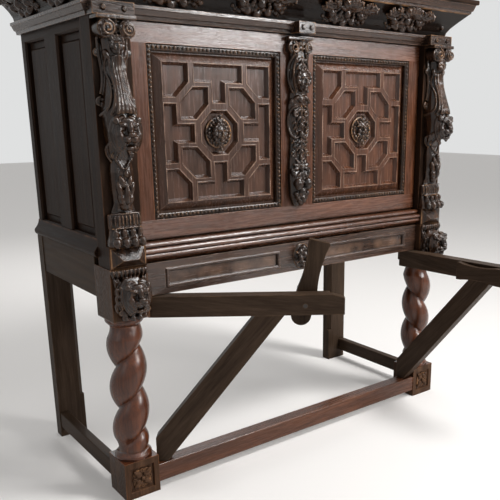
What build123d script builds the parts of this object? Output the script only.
from build123d import *
import os
from math import cos, radians, sin, sqrt, tan

# Court cupboard in carved oak: a fall-front case on an open stand with barley-twist front legs.
# Two gates hinge between the apron and the front stretcher, and each carries a turning prop that
# holds up the open fall. Millimetres, +Z up, -Y is the front, origin on the floor at the centre.

os.makedirs("parts", exist_ok=True)

# ---------------------------------------------------------------- driving sizes
stand_width = 1300.0
stand_depth = 558.0
shadow_gap = 0.5                # clearance between pieces that pass each other
running_fit = 0.05              # radial clearance of a turning pin

leg_size = 105.0
foot_height = 114.0
stand_height = 674.0
lion_block_height = 144.0
twist_turns = 3
twist_radius = 41.0
twist_throw = 10.0
twist_phase_left = 336.5
twist_phase_right = 69.0
twist_run_in = 0.125            # share of the shaft over which the throw grows at each end
ring_height = 11.0
ring_shoulder = 0.97            # share of a collar's radius at its flat faces
back_leg_width = 89.0
back_leg_depth = 40.0
back_leg_chamfer = 14.0
chamfer_stop = 138.0

stretcher_bottom = 25.0
stretcher_height = 55.0
stretcher_thickness = 46.0
stretcher_setback = 2.0
edge_chamfer = 2.0              # along stretchers, rails and the base board
side_stretcher_bottom = 36.0
side_stretcher_height = 51.0
rail_thickness = 28.0
side_rail_rise = 23.0           # side rails' top above the front legs
side_rail_height = 116.0

apron_height = 92.0
apron_thickness = 32.0
apron_setback = 18.0
apron_panel_inner = 85.0
apron_panel_outer = 482.0
apron_panel_low = 16.0
apron_panel_height = 57.0
apron_recess = 7.0
apron_frame_width = 11.0
apron_frame_proud = 4.0
apron_frame_chamfer = 3.0
apron_field_rise = 0.4          # share of the recess that the field fills
fruit_half_width = 34.0
fruit_height = 84.0
fruit_depth = 22.0
fruit_drop = 4.0                # below the stand's top
fruit_bed = (0.45, 0.82)        # shares of depth and outline of the leafy bed
fruit_radius_share = 0.34       # of its half width
fruit_places = ((-0.9, 1.4), (0.9, 1.4), (0, 0), (-1.5, -0.3), (1.5, -0.3), (0, -1.7))   # in fruit radii

mask_half_width = 47.0
mask_height = 120.0
mask_depth = 62.0
mask_corner = 0.45              # where the eight-sided mask's corners start
mask_band = 20.0                # carved band above the mask
mask_band_depth = 9.0
mask_eye = 9.0
mask_eye_x = 15.0
mask_eye_depth = 42.0
mask_eye_rise = 20.0
rosette_recess = 74.0
rosette_depth = 6.0
rosette_wall_angle = 30.0
rosette_petal = 15.0
rosette_spread = 1.7            # in petal radii
rosette_rise = 0.55             # share of the recess that the petals fill
rosette_boss = (0.7, 0.45, 0.4)     # radius in petals, then start and rise in shares of the recess
rosette_boss_taper = 35.0

case_inset = 10.0               # case's sides from the stand's
case_back_inset = 3.0
case_wall = 28.0
fall_setback = 38.0             # fall's face behind the legs' front
swing_gap = 1.8                 # between the fall's swinging foot and the floor's edge
base_board_thickness = 32.0
case_height = 651.0             # from the stand's top to the top of the head rail
floor_nosing = 3.0
head_height = 32.0
back_thickness = 14.0
board_joint = 3.0
side_stile = 33.0
side_muntin = 95.0
side_top_rail = 25.0
side_frame_chamfer = 5.0
side_foot_gap = 2.0             # panels above the waist moulding
side_panel_inset = 5.0          # panels' backs from the wall's inner face
side_panel_thickness = 14.0
side_field_margin = 17.0
side_field_rise = 6.0
side_field_taper = 40.0
post_setback = 16.0
plinth_height = 60.0
boss_depth = 21.0
boss_margin = 2.0
boss_ridge = 45.0
boss_ridge_height = 1.5
boss_ridge_drop = 6.0           # ridge below the boss's middle

waist_depth = 36.0
waist_reed = 7.0
waist_lift = 1.0                # moulding's foot above the stand
waist_shelf = 0.5               # shares of the depth: the top fillet and the foot
waist_foot = 0.3
waist_step = 3.0                # lowest reed behind the middle one
waist_side_height = 48.0
waist_side_depth = 18.0
waist_side_foot = 0.6           # share of the depth
waist_torus = 18.0              # height of the side moulding's rounded foot
waist_torus_return = 1.0
waist_quirk = (3.0, 4.0)        # step in, and up, over the rounded foot
waist_cove = (3.0, 12.0)        # curve's middle out from the upper edge, and down from it
waist_side_lip = 2.0

fall_thickness = 32.0
fall_side_gap = 3.0
fall_foot_gap = 1.0
fall_head_gap = 2.0
fall_axis_depth = 10.0          # pivot axis behind the fall's face and above its foot
fall_pin_radius = 5.0
fall_pin_reach = 18.0
fall_stile = 48.0
fall_muntin_half = 62.0
fall_bottom_rail = 57.0
fall_top_rail = 50.0
bead_width = 16.0
bead_sink = 2.0
bead_round = 0.3                # share of the bead's width
panel_thickness = 14.0
panel_ground = 11.0             # ground of the panel behind the fall's face
panel_face_sink = 1.4
field_gap = 4.0
field_slope = 21.0
cell_depth = 8.0
cell_lip = 2.6
cell_lip_rise = 0.9
cell_wall_angle = 42.0
rib = 17.0
end_rib = 0.15                  # shares of a rib: at the panel's ends, round the octagon
octagon_rib = 1.25
diagonal_rib = 0.8
side_tee = 0.6                  # side tees' half stem, as a share of the upright tees' stem
lozenge_lift = 3.0
octagon_width = 120.0
tee_stem = 42.0
tee_stem_length = 54.0
tee_bar = 157.0
corner_cut = 40.0
mask_disc = 0.36                # panel masks: shares of the octagon's width
mask_petal_ring = 0.2
mask_petal = (0.13, 0.07)
mask_boss = 0.14
mask_rises = (0.3, 0.35, 0.6)   # disc, petals and boss, in shares of a cell's depth
mask_boss_taper = 35.0
diagonal_cell = 88.0

term_half_width = 51.0
term_depth = 76.0
fall_term_half_width = 46.0
fall_term_depth = 38.0
fall_term_foot = 56.0
fall_term_drop = 6.0
volute_radius = 0.42            # shares of a term's half width
volute_shift = 0.54
abacus_reach = 0.66             # share of a term's depth

bed_low_projection = 12.0
bed_projection = 28.0
bed_reed = (9.0, 2.0)           # height and swell of the lowest reed
bed_cove_foot = (11.0, 7.0)     # height and projection over the moulding's foot
bed_cove_head = (9.0, 3.0)      # below and behind the moulding's head
bed_fillet = 8.0
die_half_width = 54.0
die_projection = 50.0
die_centre_half_width = 30.0
die_boss = 8.0
die_boss_rise = 0.7             # share of the boss's radius
die_boss_taper = 30.0
frieze_height = 76.0
frieze_projection = 74.0
frieze_cove = ((0.0, 14), (0.2, 18), (0.4, 28), (0.62, 44), (0.85, 62))   # share of height, projection
frieze_board = 40.0             # solid timber behind the frieze's foot
cornice_height = 29.0
cornice_projection = 88.0
cornice_steps = ((0.0, 2), (0.25, 3), (0.3, 7))    # share of height, projection past the frieze
cornice_crown = (0.8, 2)        # share of height, behind the cornice's edge
top_thickness = 15.0
top_projection = 95.0
top_nosing = 5.0

gate_pivot_inset = 29.0         # pivot line from the front leg's inner face
gate_pivot_setback = 37.0       # and behind the legs' front
gate_thickness = 42.0
gate_offset = 4.0               # arm's middle plane in front of the pivot
gate_lap = 40.0                 # the closed gates' half-lapped ends
arm_height = 59.0
arm_gap = 2.5
arm_tip_drop = 10.0
arm_tip_length = 34.0
gate_pin_radius = 6.0
gate_pin_reach = 30.0
pin_end_gap = 1.0               # holes past their pins' ends
brace_heel = 11.0
brace_toe = 21.0
brace_heel_height = 73.0
brace_head_width = 83.0
brace_head_inset = 170.0        # brace's upper end from the arm's free end
gate_left_open = 35.6
gate_right_open = 95.0

prop_pivot_inset = 111.0        # bolt from the arm's free end
prop_pivot_drop = 32.5          # below the arm's top
prop_top_gap = 0.3              # between the raised prop and the open fall
prop_tail = 70.0
prop_half_width = 29.0
prop_waist = 22.5
prop_horn = 2.5
prop_horn_drop = 4.0
prop_neck = 16.0                # waist's ends: below the head, above the bolt
prop_hip = 6.0
prop_thickness = 20.0
prop_lean = 13.9
prop_fold = 104.0
prop_gap = 0.4
bolt_radius = 6.0
bolt_head_radius = 11.0
bolt_head_thickness = 5.0
bolt_head_round = 2.0

# ---------------------------------------------------------------- places that follow
half_width = stand_width / 2
front_y = -stand_depth / 2
back_y = stand_depth / 2
leg_inner_x = half_width - leg_size
leg_back_y = front_y + leg_size
leg_x = half_width - leg_size / 2
leg_y = front_y + leg_size / 2
stretcher_top = stretcher_bottom + stretcher_height
stretcher_y = front_y + stretcher_setback
rail_x = half_width - stretcher_setback
lion_block_bottom = stand_height - lion_block_height
side_rail_top = stand_height + side_rail_rise
side_rail_bottom = side_rail_top - side_rail_height
apron_y = front_y + apron_setback
apron_bottom = stand_height - apron_height

case_x = half_width - case_inset
wall_x = case_x - case_wall
fall_y = front_y + fall_setback
case_y = back_y - case_back_inset
fall_swing = sqrt((fall_thickness - fall_axis_depth) ** 2 + fall_axis_depth ** 2)
base_back_y = fall_y + fall_axis_depth + fall_swing + swing_gap
base_board_top = side_rail_top + base_board_thickness
floor_top = base_board_top + fall_foot_gap + fall_thickness
case_top = stand_height + case_height
head_bottom = case_top - head_height
post_x = half_width - stretcher_setback
post_y = front_y + post_setback
plinth_top = stand_height + plinth_height

fall_half = leg_inner_x - fall_side_gap
fall_bottom = base_board_top + fall_foot_gap
fall_top = head_bottom - fall_head_gap
fall_axis_y = fall_y + fall_axis_depth
fall_axis_z = fall_bottom + fall_axis_depth
fall_back_y = fall_y + fall_thickness
opening_outer = fall_half - fall_stile
opening_low = fall_bottom + fall_bottom_rail
opening_high = fall_top - fall_top_rail
panel_x = (fall_muntin_half + opening_outer) / 2
panel_z = (opening_low + opening_high) / 2
opening_width = opening_outer - fall_muntin_half
opening_height = opening_high - opening_low

gate_pivot_x = leg_inner_x - gate_pivot_inset
gate_pivot_y = front_y + gate_pivot_setback
gate_length = gate_pivot_x + gate_lap / 2
prop_pivot = gate_length - prop_pivot_inset
brace_head_end = gate_length - brace_head_inset
brace_head_start = brace_head_end - brace_head_width
arm_top = apron_bottom - arm_gap
arm_bottom = arm_top - arm_height
prop_pivot_z = arm_top - prop_pivot_drop
prop_rise = fall_bottom - prop_top_gap - prop_pivot_z
prop_reach = (prop_rise - prop_half_width * sin(radians(prop_lean))) / cos(radians(prop_lean))
arm_front = -gate_thickness / 2 - gate_offset
arm_back = gate_thickness / 2 - gate_offset


def front(y):
    """A sketch plane that faces the front, at depth y; its sketches are drawn in X and Z."""
    return Plane.XZ.offset(-y)


def side(x):
    """A sketch plane across the cupboard, at x; its sketches are drawn in Y and Z."""
    return Plane.YZ.offset(x)


def board(x_ends, y_ends, z_ends, mode=Mode.ADD):
    """A squared piece of timber between two opposite corners."""
    middle = [(ends[0] + ends[1]) / 2 for ends in (x_ends, y_ends, z_ends)]
    with Locations(tuple(middle)):
        return Box(x_ends[1] - x_ends[0], y_ends[1] - y_ends[0], z_ends[1] - z_ends[0], mode=mode)


def cut_corners(middle, half_u, half_w):
    """The corners of an eight-sided outline about a middle point."""
    ends = ((1, mask_corner), (mask_corner, 1), (-mask_corner, 1), (-1, mask_corner),
            (-1, -mask_corner), (-mask_corner, -1), (mask_corner, -1), (1, -mask_corner))
    return [(middle[0] + u * half_u, middle[1] + w * half_w) for u, w in ends]


def other_side(piece):
    """The same piece for the left-hand side."""
    with BuildPart() as mirrored:
        mirror(piece, about=Plane.YZ)
    return mirrored.part


def course(levels):
    """A moulding round the front and both sides of the case, from (height, projection) pairs."""
    sections = []
    for height, projection in levels:
        depth = case_y - fall_y + projection
        with BuildSketch(Plane.XY.offset(height)) as section:
            with Locations((0, case_y - depth / 2)):
                Rectangle(2 * (case_x + projection), depth)
        sections.append(section.sketch.face())
    loft(sections, ruled=True)


pieces = {}

# ---------------------------------------------------------------- stand: front legs
def twist_shaft(x, phase, hand):
    """A one-start barley twist: level circles whose centres climb round the leg's axis."""
    low = foot_height + 2 * ring_height
    high = lion_block_bottom - 2 * ring_height
    steps = twist_turns * 10
    sections = []
    for step in range(steps + 1):
        share = step / steps
        fade = min(1.0, share / twist_run_in, (1 - share) / twist_run_in)
        angle = radians(phase + hand * 360 * twist_turns * share)
        throw = twist_throw * fade
        with BuildSketch(Plane.XY.offset(low + (high - low) * share)) as section:
            with Locations((x + throw * cos(angle), leg_y + throw * sin(angle))):
                Circle(twist_radius)
        sections.append(section.sketch.face())
    loft(sections)


def turned_ring(x, z, direction):
    """A turned collar next to a squared block, with a neck beyond it."""
    half = leg_size / 2
    with BuildSketch(Plane.XZ.offset(-leg_y)) as collar:
        with BuildLine():
            bead = z + direction * ring_height
            neck = z + direction * 2 * ring_height
            shoulder = x + half * ring_shoulder
            Line((x, z), (shoulder, z))
            ThreePointArc((shoulder, z), (x + half, (z + bead) / 2), (shoulder, bead))
            Line((shoulder, bead), (x + twist_radius, neck))
            Line((x + twist_radius, neck), (x, neck))
            Line((x, neck), (x, z))
        make_face()
    revolve(collar.sketch, axis=Axis((x, leg_y, 0), (0, 0, 1)))


def front_leg(x, phase, hand):
    leg_x_ends = (x - leg_size / 2, x + leg_size / 2)
    leg_y_ends = (front_y, leg_back_y)
    with BuildPart() as leg:
        board(leg_x_ends, leg_y_ends, (0, foot_height))
        board(leg_x_ends, leg_y_ends, (lion_block_bottom, stand_height))
        turned_ring(x, foot_height, 1)
        turned_ring(x, lion_block_bottom, -1)
        twist_shaft(x, phase, hand)
        for depth in (0, rosette_depth):
            size = rosette_recess - 2 * depth * tan(radians(rosette_wall_angle))
            with BuildSketch(front(front_y + depth)):
                with Locations((x, foot_height / 2)):
                    Rectangle(size, size)
        loft(ruled=True, mode=Mode.SUBTRACT)
    return leg.part


pieces["leg_front_left"] = front_leg(-leg_x, twist_phase_left, 1)
pieces["leg_front_right"] = front_leg(leg_x, twist_phase_right, -1)

# carved quatrefoil in the foot block's recess
boss_share, boss_start, boss_rise = rosette_boss
with BuildPart() as foot_rosette:
    with BuildSketch(front(front_y + rosette_depth)):
        with Locations((leg_x, foot_height / 2)):
            with GridLocations(rosette_spread * rosette_petal, rosette_spread * rosette_petal, 2, 2):
                Circle(rosette_petal)
            Circle(rosette_petal)
    extrude(amount=rosette_depth * rosette_rise)
    with BuildSketch(front(front_y + rosette_depth * boss_start)):
        with Locations((leg_x, foot_height / 2)):
            Circle(rosette_petal * boss_share)
    extrude(amount=rosette_depth * boss_rise, taper=rosette_boss_taper)
pieces["foot_rosette_right"] = foot_rosette.part
pieces["foot_rosette_left"] = other_side(foot_rosette.part)

# lion mask on the upper block: a faceted mane, a long muzzle and brow, and a leafy band above
mask_z = stand_height - mask_band - mask_height / 2
# each level is (share of the depth, shares of the width and height, lift as a share of the height)
mask_levels = ((0.0, 1.0, 1.0, 0.0), (0.4, 0.92, 0.94, 0.0), (0.68, 0.62, 0.66, 0.02),
               (1.0, 0.26, 0.3, 0.04))
with BuildPart() as lion_mask:
    for depth, width, height, lift in mask_levels:
        with BuildSketch(front(front_y - depth * mask_depth)):
            middle = (leg_x, mask_z + lift * mask_height)
            with BuildLine():
                Polyline(*cut_corners(middle, mask_half_width * width, mask_height / 2 * height), close=True)
            make_face()
    loft(ruled=True)
    for hand in (-1, 1):
        with Locations((leg_x + hand * mask_eye_x, front_y - mask_eye_depth, mask_z + mask_eye_rise)):
            Sphere(mask_eye)
    with BuildSketch(front(front_y)):
        with Locations((leg_x, stand_height - mask_band / 2)):
            Rectangle(2 * mask_half_width, mask_band)
    extrude(amount=mask_band_depth, taper=25)
    split(bisect_by=front(front_y), keep=Keep.TOP)
pieces["lion_mask_right"] = lion_mask.part
pieces["lion_mask_left"] = other_side(lion_mask.part)

# ---------------------------------------------------------------- stand: back legs and rails
with BuildPart() as leg_back:
    board((half_width - back_leg_width, half_width), (back_y - back_leg_depth, back_y),
          (0, side_rail_top))
    with BuildSketch(Plane.XY.offset(chamfer_stop)):
        with BuildLine():
            corner = (half_width - back_leg_width, back_y - back_leg_depth)
            Polyline(corner, (corner[0] + back_leg_chamfer, corner[1]),
                     (corner[0], corner[1] + back_leg_chamfer), close=True)
        make_face()
    extrude(amount=lion_block_bottom - chamfer_stop, mode=Mode.SUBTRACT)
pieces["leg_back_right"] = leg_back.part
pieces["leg_back_left"] = other_side(leg_back.part)

with BuildPart() as stretcher_front:
    board((-leg_inner_x, leg_inner_x), (stretcher_y, stretcher_y + stretcher_thickness),
          (stretcher_bottom, stretcher_top))
    chamfer(stretcher_front.edges().filter_by(Axis.X), edge_chamfer)
    with Locations(*[Location((x, gate_pivot_y, stretcher_top)) for x in (-gate_pivot_x, gate_pivot_x)]):
        Cylinder(gate_pin_radius + running_fit, 2 * (gate_pin_reach + pin_end_gap), mode=Mode.SUBTRACT)
pieces["stretcher_front"] = stretcher_front.part

with BuildPart() as stretcher_side:
    board((rail_x - rail_thickness, rail_x), (leg_back_y, back_y - back_leg_depth),
          (side_stretcher_bottom, side_stretcher_bottom + side_stretcher_height))
    chamfer(stretcher_side.edges().filter_by(Axis.Y), edge_chamfer)
pieces["stretcher_side_right"] = stretcher_side.part
pieces["stretcher_side_left"] = other_side(stretcher_side.part)

with BuildPart() as rail_side:
    board((rail_x - rail_thickness, rail_x), (leg_back_y, back_y - back_leg_depth),
          (side_rail_bottom, side_rail_top))
    chamfer(rail_side.edges().filter_by(Axis.Y).group_by(Axis.Z)[0], edge_chamfer)
pieces["rail_side_right"] = rail_side.part
pieces["rail_side_left"] = other_side(rail_side.part)

with BuildPart() as rail_back:
    rail_reach = half_width - back_leg_width
    board((-rail_reach, rail_reach), (back_y - rail_thickness, back_y), (side_rail_bottom, side_rail_top))
pieces["rail_back"] = rail_back.part

# ---------------------------------------------------------------- stand: apron
panel_mid = (apron_panel_inner + apron_panel_outer) / 2
panel_wide = apron_panel_outer - apron_panel_inner
panel_mid_z = apron_bottom + apron_panel_low + apron_panel_height / 2
with BuildPart() as apron_front:
    board((-leg_inner_x, leg_inner_x), (apron_y, apron_y + apron_thickness), (apron_bottom, stand_height))
    with BuildSketch(front(apron_y)):
        with Locations((-panel_mid, panel_mid_z), (panel_mid, panel_mid_z)):
            Rectangle(panel_wide, apron_panel_height)
    extrude(amount=-apron_recess, mode=Mode.SUBTRACT)
    with Locations(*[Location((x, gate_pivot_y, apron_bottom)) for x in (-gate_pivot_x, gate_pivot_x)]):
        Cylinder(gate_pin_radius + running_fit, 2 * (gate_pin_reach + pin_end_gap), mode=Mode.SUBTRACT)
pieces["apron_front"] = apron_front.part

with BuildPart() as apron_panel:
    frame_depth = apron_recess + apron_frame_proud
    with BuildSketch(front(apron_y + apron_recess)):
        with Locations((panel_mid, panel_mid_z)):
            Rectangle(panel_wide, apron_panel_height)
            Rectangle(panel_wide - 2 * apron_frame_width, apron_panel_height - 2 * apron_frame_width,
                      mode=Mode.SUBTRACT)
    extrude(amount=frame_depth)
    chamfer(apron_panel.faces().sort_by(Axis.Y)[0].edges(), apron_frame_chamfer)
    with BuildSketch(front(apron_y + apron_recess)):
        with Locations((panel_mid, panel_mid_z)):
            Rectangle(panel_wide - 2 * apron_frame_width, apron_panel_height - 2 * apron_frame_width)
    extrude(amount=apron_recess * apron_field_rise)
pieces["apron_panel_right"] = apron_panel.part
pieces["apron_panel_left"] = other_side(apron_panel.part)

fruit_mid_z = stand_height - fruit_drop - fruit_height / 2
with BuildPart() as apron_fruit:
    for depth, size in ((0, 1.0), (fruit_depth * fruit_bed[0], fruit_bed[1])):
        with BuildSketch(front(apron_y - depth)):
            with Locations((0, fruit_mid_z)):
                Ellipse(size * fruit_half_width, size * fruit_height / 2)
    loft()
    fruit_radius = fruit_half_width * fruit_radius_share
    with Locations(*[(x * fruit_radius, apron_y - fruit_depth + fruit_radius, fruit_mid_z + z * fruit_radius)
                     for x, z in fruit_places]):
        Sphere(fruit_radius)
    split(bisect_by=front(apron_y), keep=Keep.TOP)
pieces["apron_fruit"] = apron_fruit.part

# ---------------------------------------------------------------- base of the case
with BuildPart() as base_front:
    board((-leg_inner_x, leg_inner_x), (fall_y, base_back_y), (stand_height, base_board_top))
pieces["base_front"] = base_front.part

with BuildPart() as base_board:
    board((-case_x, case_x), (base_back_y, case_y), (side_rail_top, base_board_top))
    chamfer(base_board.edges().filter_by(Axis.X).group_by(Axis.Z)[0].sort_by(Axis.Y)[0], edge_chamfer)
pieces["base_board"] = base_board.part

# the inner floor lies level with the open fall
with BuildPart() as case_floor:
    board((-wall_x, wall_x), (base_back_y, case_y - back_thickness), (base_board_top, floor_top))
    fillet(case_floor.edges().filter_by(Axis.X).group_by(Axis.Y)[0].sort_by(Axis.Z)[-1], floor_nosing)
pieces["case_floor"] = case_floor.part

with BuildPart() as waist_moulding_front:
    with BuildSketch(side(-leg_inner_x)):
        with BuildLine():
            low, high = stand_height + waist_lift, base_board_top
            back_reed = fall_y - waist_shelf * waist_depth
            front_reed = fall_y - waist_depth + waist_reed
            under_reed = front_reed + waist_step
            foot = fall_y - waist_foot * waist_depth
            Polyline((fall_y, low), (fall_y, high), (back_reed, high))
            reed_top = high
            for reed_y, next_y in ((back_reed, front_reed), (front_reed, under_reed), (under_reed, None)):
                middle = (reed_y - waist_reed, reed_top - waist_reed)
                reed_low = reed_top - 2 * waist_reed
                ThreePointArc((reed_y, reed_top), middle, (reed_y, reed_low))
                Line((reed_y, reed_low), (next_y, reed_low) if next_y else (foot, low))
                reed_top = reed_low
            Line((foot, low), (fall_y, low))
        make_face()
    extrude(amount=2 * leg_inner_x)
pieces["waist_moulding_front"] = waist_moulding_front.part

with BuildPart() as waist_moulding_side:
    with BuildSketch(front(base_back_y)):
        with BuildLine():
            low, high = side_rail_top, side_rail_top + waist_side_height
            nose = case_x + waist_side_depth
            heel = case_x + waist_side_foot * waist_side_depth
            lip = case_x + waist_side_lip
            torus = (nose - waist_torus_return, low + waist_torus)
            quirk = (torus[0] - waist_quirk[0], torus[1] + waist_quirk[1])
            Line((case_x, low), (heel, low))
            ThreePointArc((heel, low), (nose, low + waist_torus / 2), torus)
            Line(torus, quirk)
            ThreePointArc(quirk, (lip + waist_cove[0], high - waist_cove[1]), (lip, high))
            Polyline((lip, high), (case_x, high), (case_x, low))
        make_face()
    extrude(amount=-(case_y - base_back_y))
pieces["waist_moulding_right"] = waist_moulding_side.part
pieces["waist_moulding_left"] = other_side(waist_moulding_side.part)

# ---------------------------------------------------------------- carcase
with BuildPart() as corner_post:
    board((leg_inner_x, post_x), (front_y, base_back_y), (stand_height, plinth_top))
    board((leg_inner_x, post_x), (post_y, base_back_y), (plinth_top, head_bottom))
    with Locations(Location((leg_inner_x, fall_axis_y, fall_axis_z), (0, 90, 0))):
        Cylinder(fall_pin_radius + running_fit, 2 * (fall_pin_reach + pin_end_gap), mode=Mode.SUBTRACT)
pieces["corner_post_right"] = corner_post.part
pieces["corner_post_left"] = other_side(corner_post.part)

with BuildPart() as plinth_boss:
    with BuildSketch(front(front_y)):
        with Locations(((leg_inner_x + post_x) / 2, (stand_height + plinth_top) / 2)):
            Rectangle(post_x - leg_inner_x - 2 * boss_margin, plinth_height - 2 * boss_margin)
    with BuildSketch(front(front_y - boss_depth)):
        with Locations(((leg_inner_x + post_x) / 2, (stand_height + plinth_top) / 2 - boss_ridge_drop)):
            Rectangle(boss_ridge, boss_ridge_height)
    loft(ruled=True)
pieces["plinth_boss_right"] = plinth_boss.part
pieces["plinth_boss_left"] = other_side(plinth_boss.part)

side_length = case_y - base_back_y
side_low = side_rail_top + waist_side_height + side_foot_gap
side_high = head_bottom - side_top_rail
panel_span = (side_length - 2 * side_stile - side_muntin) / 2
panel_centres = [base_back_y + side_stile + panel_span / 2, case_y - side_stile - panel_span / 2]
side_mid_z = (side_low + side_high) / 2
with BuildPart() as side_frame:
    board((wall_x, case_x), (base_back_y, case_y), (base_board_top, case_top))
    with BuildSketch(side(wall_x)):
        with Locations(*[(y, side_mid_z) for y in panel_centres]):
            Rectangle(panel_span, side_high - side_low)
    extrude(amount=case_wall, mode=Mode.SUBTRACT)
    rebate_edges = side_frame.faces().sort_by(Axis.X)[-1].inner_wires().edges()
    chamfer(rebate_edges, side_frame_chamfer)
pieces["side_frame_right"] = side_frame.part
pieces["side_frame_left"] = other_side(side_frame.part)

with BuildPart() as side_panels:
    with BuildSketch(side(wall_x + side_panel_inset)):
        with Locations(*[(y, side_mid_z) for y in panel_centres]):
            Rectangle(panel_span, side_high - side_low)
    extrude(amount=side_panel_thickness - side_field_rise)
    with BuildSketch(side(wall_x + side_panel_inset + side_panel_thickness - side_field_rise)):
        with Locations(*[(y, side_mid_z) for y in panel_centres]):
            Rectangle(panel_span - 2 * side_field_margin, side_high - side_low - 2 * side_field_margin)
    extrude(amount=side_field_rise, taper=side_field_taper)
pieces["side_panels_right"] = side_panels.part
pieces["side_panels_left"] = other_side(side_panels.part)

cornice_bottom = case_top + frieze_height
cornice_top = cornice_bottom + cornice_height
with BuildPart() as case_back:
    board((-wall_x, wall_x), (case_y - back_thickness, case_y), (base_board_top, cornice_top))
    with BuildSketch(front(case_y)):
        with Locations(*[(x, (base_board_top + cornice_top) / 2) for x in (-wall_x / 3, wall_x / 3)]):
            Rectangle(board_joint, cornice_top - base_board_top)
    extrude(amount=board_joint, mode=Mode.SUBTRACT)
pieces["case_back"] = case_back.part

with BuildPart() as head_rail:
    board((-case_x, case_x), (fall_y, base_back_y), (head_bottom, case_top))
pieces["head_rail"] = head_rail.part

with BuildPart() as case_ceiling:
    board((-wall_x, wall_x), (base_back_y, case_y - back_thickness), (head_bottom, case_top))
pieces["case_ceiling"] = case_ceiling.part


# ---------------------------------------------------------------- carved terms
# Each level is (share of the height, share of the half width, share of the depth). The shaft is thin
# over the drop of fruit and swells to a lion mask, above which a bust carries the scrolled capital.
corner_term = ((0.000, 0.96, 0.50), (0.022, 0.96, 0.56), (0.080, 0.84, 0.24), (0.085, 0.88, 0.28),
               (0.148, 0.88, 0.28), (0.155, 0.66, 0.18), (0.197, 0.50, 0.24), (0.260, 0.58, 0.38),
               (0.340, 0.60, 0.38), (0.395, 0.52, 0.32), (0.440, 0.62, 0.50), (0.500, 0.70, 0.82),
               (0.560, 0.76, 0.90), (0.612, 0.80, 0.84), (0.665, 0.66, 0.66), (0.730, 0.52, 0.50),
               (0.790, 0.50, 0.36), (0.830, 0.56, 0.38), (0.900, 0.60, 0.38), (0.982, 0.72, 0.44))
centre_term = ((0.000, 0.40, 0.40), (0.060, 0.72, 0.70), (0.160, 0.84, 0.86), (0.230, 0.80, 0.60),
               (0.300, 0.72, 0.50), (0.400, 0.66, 0.46), (0.480, 0.80, 0.52), (0.600, 0.84, 0.50),
               (0.680, 0.70, 0.62), (0.760, 0.66, 0.86), (0.850, 0.62, 0.66), (0.982, 0.84, 0.60))
# rounded high spots: (share of the height, shift across, radius), both in shares of the half width
corner_lumps = ((0.028, 0.60, 0.26), (0.028, -0.60, 0.26), (0.028, 0.20, 0.26), (0.028, -0.20, 0.26),
                (0.235, 0.0, 0.34), (0.320, 0.0, 0.40), (0.535, 0.0, 0.36), (0.600, 0.34, 0.22),
                (0.600, -0.34, 0.22), (0.850, 0.0, 0.38))
centre_lumps = ((0.060, 0.0, 0.40), (0.150, 0.36, 0.34), (0.150, -0.36, 0.34), (0.780, 0.0, 0.44))


def term(place, foot, head, half, depth, levels, lumps):
    """A tapering carved pilaster between two heights, on the face at place (x, y)."""
    x, base_y = place
    height = head - foot
    with BuildPart() as figure:
        for share, width, reach in levels:
            flat, side_reach = half * width, 0.55 * reach * depth
            with BuildSketch(Plane.XY.offset(foot + share * height)):
                with BuildLine():
                    Polyline((x - flat, base_y), (x - flat, base_y - side_reach),
                             (x - 0.55 * flat, base_y - reach * depth),
                             (x + 0.55 * flat, base_y - reach * depth),
                             (x + flat, base_y - side_reach), (x + flat, base_y), close=True)
                make_face()
        loft(ruled=True)
        abacus_bottom = foot + levels[-1][0] * height
        board((x - half, x + half), (base_y - abacus_reach * depth, base_y), (abacus_bottom, head))
        volute_z = abacus_bottom - volute_radius * half
        for hand in (-1, 1):
            for radius, reach in ((volute_radius, abacus_reach - 0.06), (0.4 * volute_radius, abacus_reach)):
                with BuildSketch(front(base_y)):
                    with Locations((x + hand * half * volute_shift, volute_z)):
                        Circle(half * radius)
                extrude(amount=reach * depth)
        for share, shift, radius in lumps:
            below = max(level for level in levels if level[0] <= share)
            above = min(level for level in levels if level[0] > share)
            mix = (share - below[0]) / (above[0] - below[0])
            surface = below[2] + mix * (above[2] - below[2])
            sunk = 0.55 * radius * half + abs(shift) * 0.18 * depth
            with Locations((x + shift * half, base_y - surface * depth + sunk, foot + share * height)):
                Sphere(radius * half)
        split(bisect_by=front(base_y), keep=Keep.TOP)
    return figure.part


post_middle = (leg_inner_x + post_x) / 2
pieces["term_right"] = term((post_middle, post_y), plinth_top, head_bottom, term_half_width, term_depth,
                            corner_term, corner_lumps)
pieces["term_left"] = other_side(pieces["term_right"])

# ---------------------------------------------------------------- entablature
bed_levels = ((head_bottom, bed_low_projection),
              (head_bottom + bed_reed[0], bed_low_projection + bed_reed[1]),
              (head_bottom + bed_cove_foot[0], bed_low_projection + bed_cove_foot[1]),
              (case_top - bed_cove_head[0], bed_projection - bed_cove_head[1]),
              (case_top - bed_fillet, bed_projection), (case_top, bed_projection))
die_places = ((-post_middle, die_half_width), (0, die_centre_half_width), (post_middle, die_half_width))


with BuildPart() as bed_moulding:
    course(bed_levels)
    board((-case_x, case_x), (fall_y, case_y), (head_bottom, case_top), Mode.SUBTRACT)
pieces["bed_moulding"] = bed_moulding.part

# dies break forward over the terms and are scribed to the moulding behind them
with BuildPart() as die_row:
    for x, half in die_places:
        board((x - half, x + half), (fall_y - die_projection, fall_y), (head_bottom, case_top))
    add(bed_moulding.part, mode=Mode.SUBTRACT)
    board((-case_x, case_x), (fall_y - bed_low_projection, fall_y), (head_bottom, case_top), Mode.SUBTRACT)
    boss_z = (head_bottom + case_top) / 2
    boss_spots = [(x + hand * half / 2, boss_z) for x, half in die_places for hand in (-1, 1)]
    with BuildSketch(front(fall_y - die_projection)):
        with Locations(*boss_spots):
            Circle(die_boss)
    extrude(amount=die_boss * die_boss_rise, taper=die_boss_taper)
pieces["frieze_dies"] = die_row.part

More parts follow.
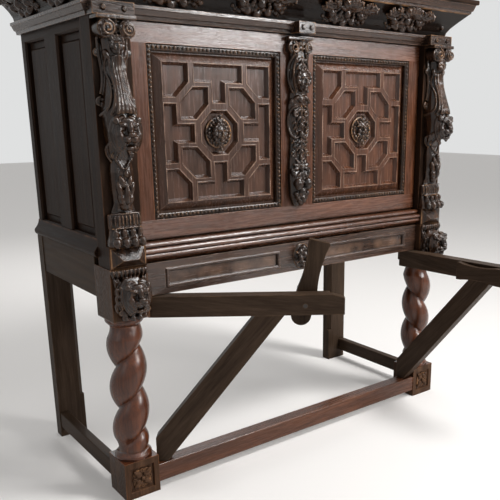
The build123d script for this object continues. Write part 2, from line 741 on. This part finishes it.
hollow_y = fall_y + frieze_board
with BuildPart() as frieze:
    frieze_levels = (*frieze_cove, (1.0, frieze_projection))
    course([(case_top + share * frieze_height, out) for share, out in frieze_levels])
    board((-wall_x, wall_x), (hollow_y, case_y), (case_top, case_top + frieze_height), Mode.SUBTRACT)
pieces["frieze"] = frieze.part

with BuildPart() as cornice_moulding:
    cornice_levels = (*[(share, frieze_projection + out) for share, out in cornice_steps],
                      (cornice_crown[0], cornice_projection - cornice_crown[1]), (1.0, cornice_projection))
    course([(cornice_bottom + share * cornice_height, out) for share, out in cornice_levels])
    board((-wall_x, wall_x), (hollow_y, case_y), (cornice_bottom, cornice_top), Mode.SUBTRACT)
pieces["cornice_moulding"] = cornice_moulding.part

with BuildPart() as top_board:
    board((-case_x - top_projection, case_x + top_projection), (fall_y - top_projection, case_y),
          (cornice_top, cornice_top + top_thickness))
    fillet(top_board.faces().sort_by(Axis.Y)[0].edges().filter_by(Axis.X), top_nosing)
pieces["top_board"] = top_board.part

# ---------------------------------------------------------------- fall
with BuildPart() as fall_frame:
    board((-fall_half, fall_half), (fall_y, fall_back_y), (fall_bottom, fall_top))
    foot_edge = fall_frame.edges().filter_by(Axis.X).group_by(Axis.Z)[0].sort_by(Axis.Y)[0]
    fillet(foot_edge, fall_axis_depth)
    with BuildSketch(front(fall_back_y)):
        with Locations((-panel_x, panel_z), (panel_x, panel_z)):
            Rectangle(opening_width, opening_height)
    extrude(amount=fall_thickness, mode=Mode.SUBTRACT)
    for hand in (-1, 1):
        with Locations(Location((hand * fall_half, fall_axis_y, fall_axis_z), (0, 90, 0))):
            Cylinder(fall_pin_radius, 2 * fall_pin_reach, mode=Mode.SUBTRACT)
pieces["fall_frame"] = fall_frame.part

with BuildPart() as fall_pins:
    for hand in (-1, 1):
        with Locations(Location((hand * fall_half, fall_axis_y, fall_axis_z), (0, 90, 0))):
            Cylinder(fall_pin_radius, 2 * fall_pin_reach)
pieces["fall_pivot_pins"] = fall_pins.part

# bead moulding lining each opening
with BuildPart() as fall_bead:
    with BuildSketch(front(fall_y + panel_ground)):
        with Locations((panel_x, panel_z)):
            Rectangle(opening_width, opening_height)
            Rectangle(opening_width - 2 * bead_width, opening_height - 2 * bead_width, mode=Mode.SUBTRACT)
    extrude(amount=panel_ground - bead_sink)
    fillet(fall_bead.faces().sort_by(Axis.Y)[0].edges(), bead_width * bead_round)
pieces["fall_bead_right"] = fall_bead.part
pieces["fall_bead_left"] = other_side(fall_bead.part)


# ---------------------------------------------------------------- geometric panels
def cell_outlines():
    """Outlines of the sunk cells, from the panel's centre: an octagon, tees, lozenges and corners."""
    half_u = opening_width / 2 - bead_width - field_gap - field_slope
    half_w = opening_height / 2 - bead_width - field_gap - field_slope
    reach_u = half_u - rib * end_rib
    reach_w = half_w - rib * end_rib
    octagon = octagon_width / 2
    cut = octagon * (1 - tan(radians(22.5)))
    stem_end = octagon + rib * octagon_rib
    tee_side = tee_stem * side_tee
    outlines = [[(-octagon, -octagon + cut), (-octagon, octagon - cut), (-octagon + cut, octagon),
                 (octagon - cut, octagon), (octagon, octagon - cut), (octagon, -octagon + cut),
                 (octagon - cut, -octagon), (-octagon + cut, -octagon)]]
    bar_u, bar_w = tee_bar / 2, tee_bar / 2
    for hand in (-1, 1):
        ledge = hand * (stem_end + tee_stem_length)
        outlines.append([(-bar_u, hand * reach_w), (-bar_u, ledge), (-tee_stem / 2, ledge),
                         (-tee_stem / 2, hand * stem_end), (tee_stem / 2, hand * stem_end),
                         (tee_stem / 2, ledge), (bar_u, ledge), (bar_u, hand * reach_w)])
        outlines.append([(hand * reach_u, -bar_w), (ledge, -bar_w), (ledge, -tee_side),
                         (hand * stem_end, -tee_side), (hand * stem_end, tee_side),
                         (ledge, tee_side), (ledge, bar_w), (hand * reach_u, bar_w)])
    inner = tee_stem / 2 + rib * diagonal_rib
    inner_w = inner + lozenge_lift
    outer = inner + diagonal_cell
    for u, w in ((-1, -1), (-1, 1), (1, -1), (1, 1)):
        outlines.append([(u * inner, w * outer), (u * (outer - corner_cut), w * outer),
                         (u * outer, w * (outer - corner_cut)), (u * outer, w * inner_w),
                         (u * (inner + corner_cut), w * inner_w), (u * inner, w * (inner_w + corner_cut))])
        low_u, low_w = tee_bar / 2 + rib, tee_bar / 2 + rib
        outlines.append([(u * reach_u, w * reach_w), (u * low_u, w * reach_w),
                         (u * low_u, w * (low_w + corner_cut)), (u * (low_u + corner_cut), w * low_w),
                         (u * reach_u, w * low_w)])
    return outlines


panel_base_y = fall_y + panel_ground
panel_face_y = fall_y + panel_face_sink
with BuildPart() as fall_panel:
    with BuildSketch(front(panel_base_y + panel_thickness)):
        with Locations((panel_x, panel_z)):
            Rectangle(opening_width, opening_height)
    extrude(amount=panel_thickness)
    for depth, inset in ((panel_base_y, field_gap), (panel_face_y, field_gap + field_slope)):
        with BuildSketch(front(depth)):
            with Locations((panel_x, panel_z)):
                margin = 2 * (bead_width + inset)
                Rectangle(opening_width - margin, opening_height - margin)
    loft(ruled=True)
    for outline in cell_outlines():
        with BuildSketch(front(panel_face_y)) as mouth:
            with BuildLine():
                Polyline(*[(panel_x + u, panel_z + w) for u, w in outline], close=True)
            make_face()
        extrude(mouth.sketch, amount=-cell_depth, taper=cell_wall_angle, mode=Mode.SUBTRACT)
        with BuildSketch(front(panel_face_y)) as lip:
            add(mouth.sketch)
            offset(amount=cell_lip, kind=Kind.INTERSECTION)
            add(mouth.sketch, mode=Mode.SUBTRACT)
        extrude(lip.sketch, amount=cell_lip_rise)
pieces["fall_panel_right"] = fall_panel.part
pieces["fall_panel_left"] = other_side(fall_panel.part)

cell_floor_y = panel_face_y + cell_depth
disc_rise, petal_rise, centre_rise = [share * cell_depth for share in mask_rises]
with BuildPart() as panel_rosette:
    with BuildSketch(front(cell_floor_y)):
        with Locations((panel_x, panel_z)):
            Circle(octagon_width * mask_disc)
    extrude(amount=disc_rise)
    with BuildSketch(front(cell_floor_y - disc_rise)):
        with Locations((panel_x, panel_z)):
            with PolarLocations(octagon_width * mask_petal_ring, 8):
                Ellipse(octagon_width * mask_petal[0], octagon_width * mask_petal[1])
    extrude(amount=petal_rise)
    with BuildSketch(front(cell_floor_y - disc_rise)):
        with Locations((panel_x, panel_z)):
            Circle(octagon_width * mask_boss)
    extrude(amount=centre_rise, taper=mask_boss_taper)
pieces["panel_rosette_right"] = panel_rosette.part
pieces["panel_rosette_left"] = other_side(panel_rosette.part)

pieces["fall_term"] = term((0, fall_y), fall_bottom + fall_term_foot, fall_top - fall_term_drop,
                           fall_term_half_width, fall_term_depth, centre_term, centre_lumps)


# ---------------------------------------------------------------- gates
# Each gate is drawn closed at the right-hand side, with its pivot line on the local Z axis and its
# arm towards -X, and is then hung on its own side and swung open.
def hung(piece, hand, opening):
    """The piece on its own side's pivot line, swung open by the given angle."""
    sided = piece if hand > 0 else other_side(piece)
    with BuildPart() as placed:
        with Locations(Location((hand * gate_pivot_x, gate_pivot_y, 0), (0, 0, hand * opening))):
            add(sided)
    return placed.part


def gate_arm(lap_ends):
    """The arm, rounded about its pivot, with half its thickness cut away where the gates meet."""
    lap_start = 2 * gate_pivot_x - gate_length - shadow_gap
    with BuildPart() as arm:
        with BuildSketch(front(arm_back)):
            with BuildLine():
                Polyline((0, arm_bottom), (0, arm_top), (arm_tip_length - gate_length, arm_top),
                         (-gate_length, arm_top - arm_tip_drop), (-gate_length, arm_bottom), close=True)
            make_face()
        extrude(amount=gate_thickness)
        with BuildSketch(Plane.XY.offset(arm_bottom)):
            Circle(-arm_front)
            with Locations((0, arm_back - arm_front)):
                Rectangle(4 * gate_thickness, -2 * arm_front, mode=Mode.SUBTRACT)
        extrude(amount=arm_height)
        board((-gate_length, -lap_start), lap_ends, (arm_bottom, arm_top), Mode.SUBTRACT)
        with Locations((0, 0, arm_top)):
            Cylinder(gate_pin_radius, 2 * gate_pin_reach, mode=Mode.SUBTRACT)
        with BuildSketch(front(arm_back)):
            with Locations((-prop_pivot, prop_pivot_z)):
                Circle(bolt_radius)
        extrude(amount=gate_thickness, mode=Mode.SUBTRACT)
    return arm.part


lap_middle = (arm_front + arm_back) / 2
front_half_cut = (arm_front, lap_middle + shadow_gap / 2)
back_half_cut = (lap_middle - shadow_gap / 2, arm_back)

with BuildPart() as gate_brace:
    with BuildSketch(front(arm_back)):
        with BuildLine():
            foot_z = stretcher_top + shadow_gap
            Polyline((brace_heel, foot_z), (brace_heel, foot_z + brace_heel_height),
                     (-brace_head_start, arm_bottom), (-brace_head_end, arm_bottom),
                     (-brace_toe, foot_z), close=True)
        make_face()
    extrude(amount=gate_thickness)
    with Locations((0, 0, stretcher_top)):
        Cylinder(gate_pin_radius, 2 * gate_pin_reach, mode=Mode.SUBTRACT)

# pivot pins into apron and stretcher, and the bolt that the prop turns on
bolt_end = arm_back + prop_thickness + 2 * prop_gap
with BuildPart() as gate_pins:
    for pin_z in (arm_top, stretcher_top):
        with Locations((0, 0, pin_z)):
            Cylinder(gate_pin_radius, 2 * gate_pin_reach)
    with BuildSketch(front(bolt_end)):
        with Locations((-prop_pivot, prop_pivot_z)):
            Circle(bolt_radius)
    extrude(amount=bolt_end - arm_front)
    with BuildSketch(front(bolt_end + bolt_head_thickness)):
        with Locations((-prop_pivot, prop_pivot_z)):
            Circle(bolt_head_radius)
    extrude(amount=bolt_head_thickness)
    fillet(gate_pins.edges().filter_by(GeomType.CIRCLE).sort_by(Axis.Y)[-1], bolt_head_round)


def gate_prop(turn):
    """The prop on its bolt: a waisted board with a round tail, turned from upright by an angle."""
    angle = radians(turn)
    pivot_plane = Plane(origin=(-prop_pivot, arm_back + prop_gap, prop_pivot_z),
                        x_dir=(-cos(angle), 0, sin(angle)), z_dir=(0, 1, 0))
    half, waist = prop_half_width, prop_waist
    neck = prop_reach - prop_neck
    hip = prop_half_width + prop_hip
    tail = prop_half_width - prop_tail
    with BuildPart() as prop:
        with BuildSketch(pivot_plane):
            with BuildLine():
                Polyline((-half, neck), (-half, prop_reach), (half, prop_reach),
                         (half + prop_horn, prop_reach - prop_horn_drop), (half, neck))
                ThreePointArc((half, neck), (waist, (neck + hip) / 2), (half, hip))
                Line((half, hip), (half, tail))
                ThreePointArc((half, tail), (0, -prop_tail), (-half, tail))
                Line((-half, tail), (-half, hip))
                ThreePointArc((-half, hip), (-waist, (neck + hip) / 2), (-half, neck))
            make_face()
            Circle(bolt_radius + running_fit, mode=Mode.SUBTRACT)
        extrude(amount=prop_thickness)
    return prop.part


pieces["gate_arm_right"] = hung(gate_arm(front_half_cut), 1, gate_right_open)
pieces["gate_arm_left"] = hung(gate_arm(back_half_cut), -1, gate_left_open)
pieces["gate_brace_right"] = hung(gate_brace.part, 1, gate_right_open)
pieces["gate_brace_left"] = hung(gate_brace.part, -1, gate_left_open)
pieces["gate_pins_right"] = hung(gate_pins.part, 1, gate_right_open)
pieces["gate_pins_left"] = hung(gate_pins.part, -1, gate_left_open)
pieces["prop_right"] = hung(gate_prop(prop_fold - prop_lean), 1, gate_right_open)
pieces["prop_left"] = hung(gate_prop(-prop_lean), -1, gate_left_open)

# ---------------------------------------------------------------- files
for name, piece in pieces.items():
    piece.label = name
    export_step(piece, f"parts/{name}.step")
